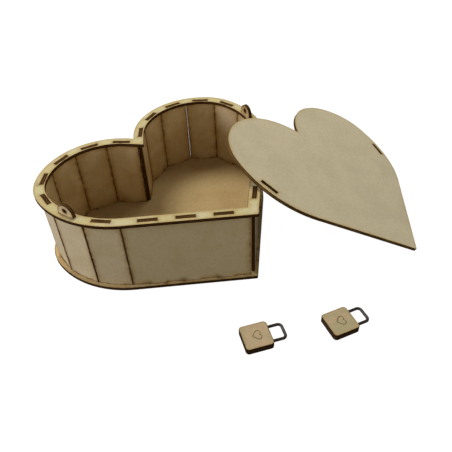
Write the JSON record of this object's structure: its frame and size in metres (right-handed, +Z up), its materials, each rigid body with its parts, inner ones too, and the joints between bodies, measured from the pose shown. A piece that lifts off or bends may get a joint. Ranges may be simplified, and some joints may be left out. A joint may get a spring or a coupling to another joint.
{
  "type": "heart-shaped wooden box",
  "caption": "Heart-shaped keepsake box of laser-cut fibreboard with flat tabbed walls, an open rim, a loose slotted lid and small wooden padlocks",
  "frame": {"origin": "middle of the base plate's underside, halfway between the heart's tip and the top of its lobes", "axes": "+Z up, the heart's tip points to -Y and its notch to +Y, +X towards the side where the lid leans"},
  "size_m": [0.3399, 0.2785, 0.0935],
  "materials": {
    "board": "raw fibreboard, cut edges burnt dark by the laser",
    "rim": "raw pale fibreboard, yellowed along its burnt edges",
    "lid": "raw grey-tan fibreboard, cut edges burnt dark by the laser",
    "padlock": "raw fibreboard, engraved, sides burnt near black",
    "wire": "black satin wire"
  },
  "bodies": {
    "root": {"base_plate": "board", "rim_frame": "rim", "lid": "lid", "left_wall_1": "board", "left_wall_2": "board", "left_wall_3": "board", "left_wall_4": "board", "left_wall_5": "board", "left_wall_6": "board", "left_wall_7": "board", "left_wall_8": "board", "right_wall_1": "board", "right_wall_2": "board", "right_wall_3": "board", "right_wall_4": "board", "right_wall_5": "board", "right_wall_6": "board", "right_wall_7": "board", "right_wall_8": "board", "padlock_left_body": "padlock", "padlock_right_body": "padlock", "padlock_left_shackle": "wire", "padlock_right_shackle": "wire"}
  },
  "joints": []
}
